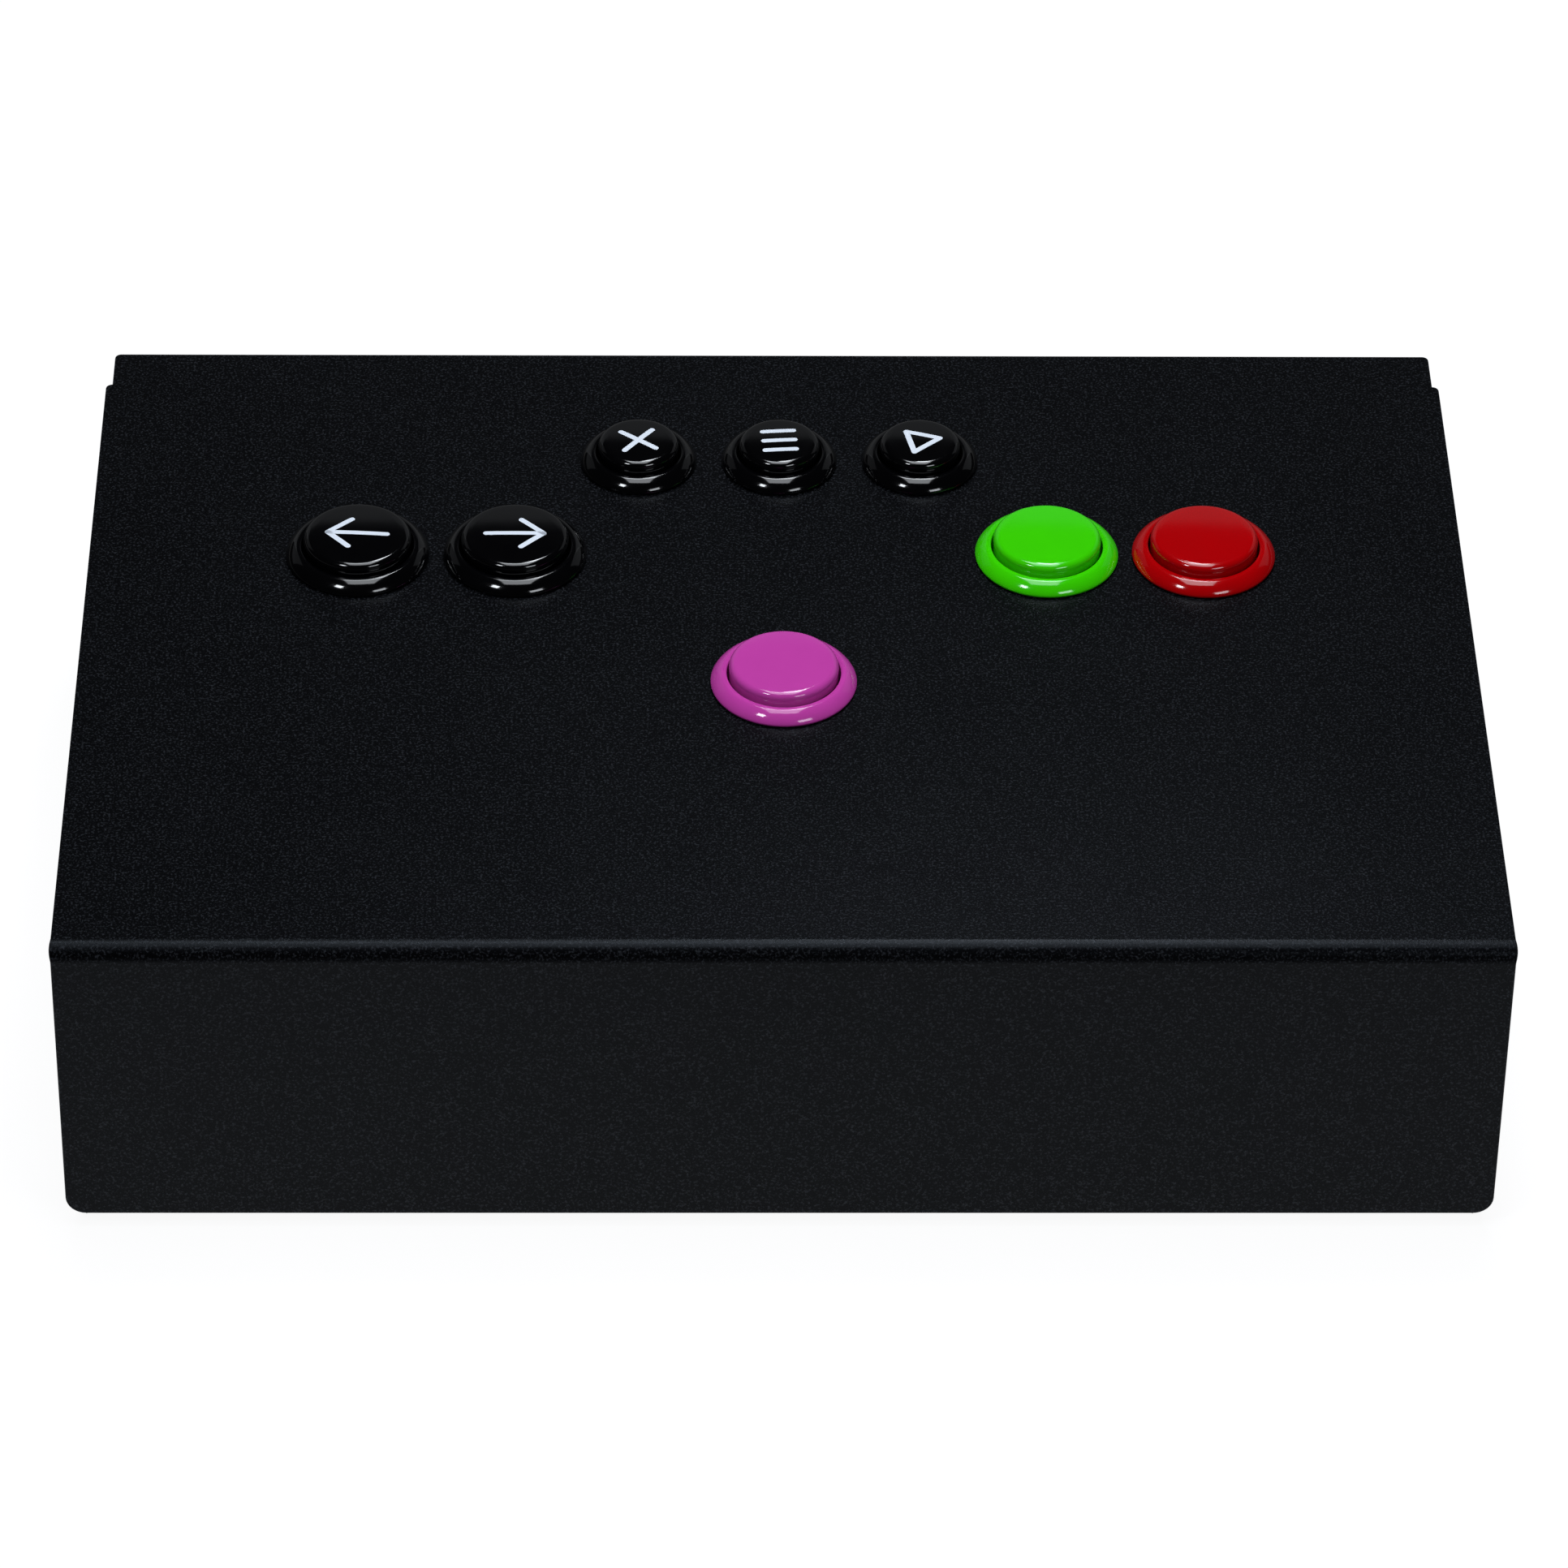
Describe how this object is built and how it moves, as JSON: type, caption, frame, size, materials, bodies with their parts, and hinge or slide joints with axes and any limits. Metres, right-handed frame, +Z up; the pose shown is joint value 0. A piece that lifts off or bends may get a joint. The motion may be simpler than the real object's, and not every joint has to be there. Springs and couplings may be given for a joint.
{
  "type": "arcade push-button control panel",
  "caption": "Low folded-steel box with a fine-texture black coat that carries round sprung push buttons in coloured and black plastic on its flat top",
  "frame": {"origin": "on the surface under the feet, below the middle of the box", "axes": "+X to the right along the long side, -Y out of the front face, +Z up"},
  "size_m": [0.32, 0.224, 0.0874],
  "materials": {
    "black_powder_coat": "fine-texture matt powder coat on sheet steel",
    "zinc_steel": "bright zinc plating",
    "foot_rubber": "moulded black rubber",
    "circuit_board": "glass-epoxy board with green solder mask",
    "chip_epoxy": "moulded epoxy",
    "block_nylon": "moulded nylon",
    "lead_pvc": "extruded PVC",
    "signal_pvc": "extruded PVC",
    "terminal_brass": "stamped brass",
    "sleeve_vinyl": "moulded vinyl",
    "black_plastic": "glossy injection-moulded plastic",
    "green_plastic": "glossy injection-moulded plastic",
    "red_plastic": "glossy injection-moulded plastic",
    "magenta_plastic": "glossy injection-moulded plastic",
    "spring_steel": "drawn spring wire",
    "switch_plastic": "glass-filled plastic",
    "actuator_plastic": "moulded acetal"
  },
  "bodies": {
    "panel": {"cover": "black_powder_coat", "cover_studs": "zinc_steel", "stud_nuts": "zinc_steel", "wall_frame": "black_powder_coat", "bottom_plate": "black_powder_coat", "clinch_nuts": "zinc_steel", "bottom_screws": "zinc_steel", "rubber_feet": "foot_rubber", "encoder_board": "circuit_board", "encoder_chip": "chip_epoxy", "terminal_block": "block_nylon", "board_standoffs": "zinc_steel", "board_screws": "zinc_steel", "usb_socket": "zinc_steel", "usb_socket_screws": "zinc_steel", "usb_lead": "lead_pvc", "signal_wires": "signal_pvc", "ground_wires": "lead_pvc", "switch_terminals": "terminal_brass", "spade_connectors": "sleeve_vinyl", "exit_housing": "black_plastic", "menu_housing": "black_plastic", "play_housing": "black_plastic", "left_housing": "black_plastic", "right_housing": "black_plastic", "green_housing": "green_plastic", "red_housing": "red_plastic", "magenta_housing": "magenta_plastic", "exit_spring": "spring_steel", "menu_spring": "spring_steel", "play_spring": "spring_steel", "left_spring": "spring_steel", "right_spring": "spring_steel", "green_spring": "spring_steel", "red_spring": "spring_steel", "magenta_spring": "spring_steel", "exit_microswitch": "switch_plastic", "menu_microswitch": "switch_plastic", "play_microswitch": "switch_plastic", "left_microswitch": "switch_plastic", "right_microswitch": "switch_plastic", "green_microswitch": "switch_plastic", "red_microswitch": "switch_plastic", "magenta_microswitch": "switch_plastic"},
    "exit_button": {"exit_plunger": "black_plastic", "exit_actuator": "actuator_plastic"},
    "menu_button": {"menu_plunger": "black_plastic", "menu_actuator": "actuator_plastic"},
    "play_button": {"play_plunger": "black_plastic", "play_actuator": "actuator_plastic"},
    "left_button": {"left_plunger": "black_plastic", "left_actuator": "actuator_plastic"},
    "right_button": {"right_plunger": "black_plastic", "right_actuator": "actuator_plastic"},
    "green_button": {"green_plunger": "green_plastic", "green_actuator": "actuator_plastic"},
    "red_button": {"red_plunger": "red_plastic", "red_actuator": "actuator_plastic"},
    "magenta_button": {"magenta_plunger": "magenta_plastic", "magenta_actuator": "actuator_plastic"}
  },
  "joints": [
    {"name": "exit_press", "type": "slide", "parent": "panel", "child": "exit_button", "axis": [0, 0, -1], "range_m": [0, 0.003], "stiffness_N_per_m": 180, "springref_m": -0.004, "deforming": ["exit_spring"]},
    {"name": "menu_press", "type": "slide", "parent": "panel", "child": "menu_button", "axis": [0, 0, -1], "range_m": [0, 0.003], "stiffness_N_per_m": 180, "springref_m": -0.004, "deforming": ["menu_spring"]},
    {"name": "play_press", "type": "slide", "parent": "panel", "child": "play_button", "axis": [0, 0, -1], "range_m": [0, 0.003], "stiffness_N_per_m": 180, "springref_m": -0.004, "deforming": ["play_spring"]},
    {"name": "left_press", "type": "slide", "parent": "panel", "child": "left_button", "axis": [0, 0, -1], "range_m": [0, 0.003], "stiffness_N_per_m": 180, "springref_m": -0.004, "deforming": ["left_spring"]},
    {"name": "right_press", "type": "slide", "parent": "panel", "child": "right_button", "axis": [0, 0, -1], "range_m": [0, 0.003], "stiffness_N_per_m": 180, "springref_m": -0.004, "deforming": ["right_spring"]},
    {"name": "green_press", "type": "slide", "parent": "panel", "child": "green_button", "axis": [0, 0, -1], "range_m": [0, 0.003], "stiffness_N_per_m": 180, "springref_m": -0.004, "deforming": ["green_spring"]},
    {"name": "red_press", "type": "slide", "parent": "panel", "child": "red_button", "axis": [0, 0, -1], "range_m": [0, 0.003], "stiffness_N_per_m": 180, "springref_m": -0.004, "deforming": ["red_spring"]},
    {"name": "magenta_press", "type": "slide", "parent": "panel", "child": "magenta_button", "axis": [0, 0, -1], "range_m": [0, 0.003], "stiffness_N_per_m": 180, "springref_m": -0.004, "deforming": ["magenta_spring"]}
  ]
}
